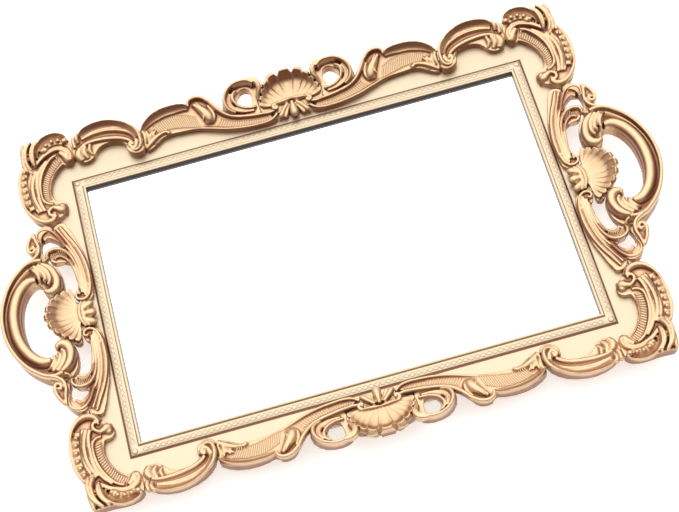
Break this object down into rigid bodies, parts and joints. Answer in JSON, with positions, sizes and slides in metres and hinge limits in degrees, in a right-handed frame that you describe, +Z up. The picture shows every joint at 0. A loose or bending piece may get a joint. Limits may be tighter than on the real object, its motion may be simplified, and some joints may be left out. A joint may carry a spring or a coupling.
{
  "type": "dresser vanity tray",
  "caption": "Rectangular mirror tray in a gilded rococo frame with scrolls, ribbed bands, shells and a pierced loop handle at each end.",
  "frame": {"origin": "centre of the underside of the felt base, on the surface that the tray stands on", "axes": "+X along the length of the tray, from one handle to the other; +Y to the back long side; +Z up"},
  "size_m": [0.4272, 0.2652, 0.027],
  "materials": {
    "carved_gilt": "cast resin under satin rose-gold metallic paint, with brown patina wiped into the recesses",
    "field_gilt": "smooth satin pale-gold metallic paint on resin",
    "slip_gilt": "satin pale-gold metallic paint over a fine moulded leaf lattice",
    "mirror_glass": "silvered float glass",
    "backing_board": "bare hardboard",
    "foam_tape": "white double-sided foam tape",
    "felt": "short-nap dark brown felt"
  },
  "bodies": {
    "root": {"backing_board": "backing_board", "c_scroll_back_left": "carved_gilt", "c_scroll_back_right": "carved_gilt", "c_scroll_front_left": "carved_gilt", "c_scroll_front_right": "carved_gilt", "corner_back_left": "carved_gilt", "corner_back_right": "carved_gilt", "corner_front_left": "carved_gilt", "corner_front_right": "carved_gilt", "ear_scroll_back_left": "carved_gilt", "ear_scroll_back_right": "carved_gilt", "ear_scroll_front_left": "carved_gilt", "ear_scroll_front_right": "carved_gilt", "end_reeds_back_left": "carved_gilt", "end_reeds_back_right": "carved_gilt", "end_reeds_front_left": "carved_gilt", "end_reeds_front_right": "carved_gilt", "felt_base": "felt", "foam_tape": "foam_tape", "handle_left": "carved_gilt", "handle_right": "carved_gilt", "mirror_plate": "mirror_glass", "pierced_ring_back_left": "carved_gilt", "pierced_ring_back_right": "carved_gilt", "pierced_ring_front_left": "carved_gilt", "pierced_ring_front_right": "carved_gilt", "rail_back": "field_gilt", "rail_front": "field_gilt", "rail_left": "field_gilt", "rail_right": "field_gilt", "ribbed_band_back_left": "carved_gilt", "ribbed_band_back_right": "carved_gilt", "ribbed_band_front_left": "carved_gilt", "ribbed_band_front_right": "carved_gilt", "shell_back": "carved_gilt", "shell_front": "carved_gilt", "shell_left": "carved_gilt", "shell_right": "carved_gilt", "sight_slip_back": "slip_gilt", "sight_slip_front": "slip_gilt", "sight_slip_left": "slip_gilt", "sight_slip_right": "slip_gilt"}
  },
  "joints": []
}
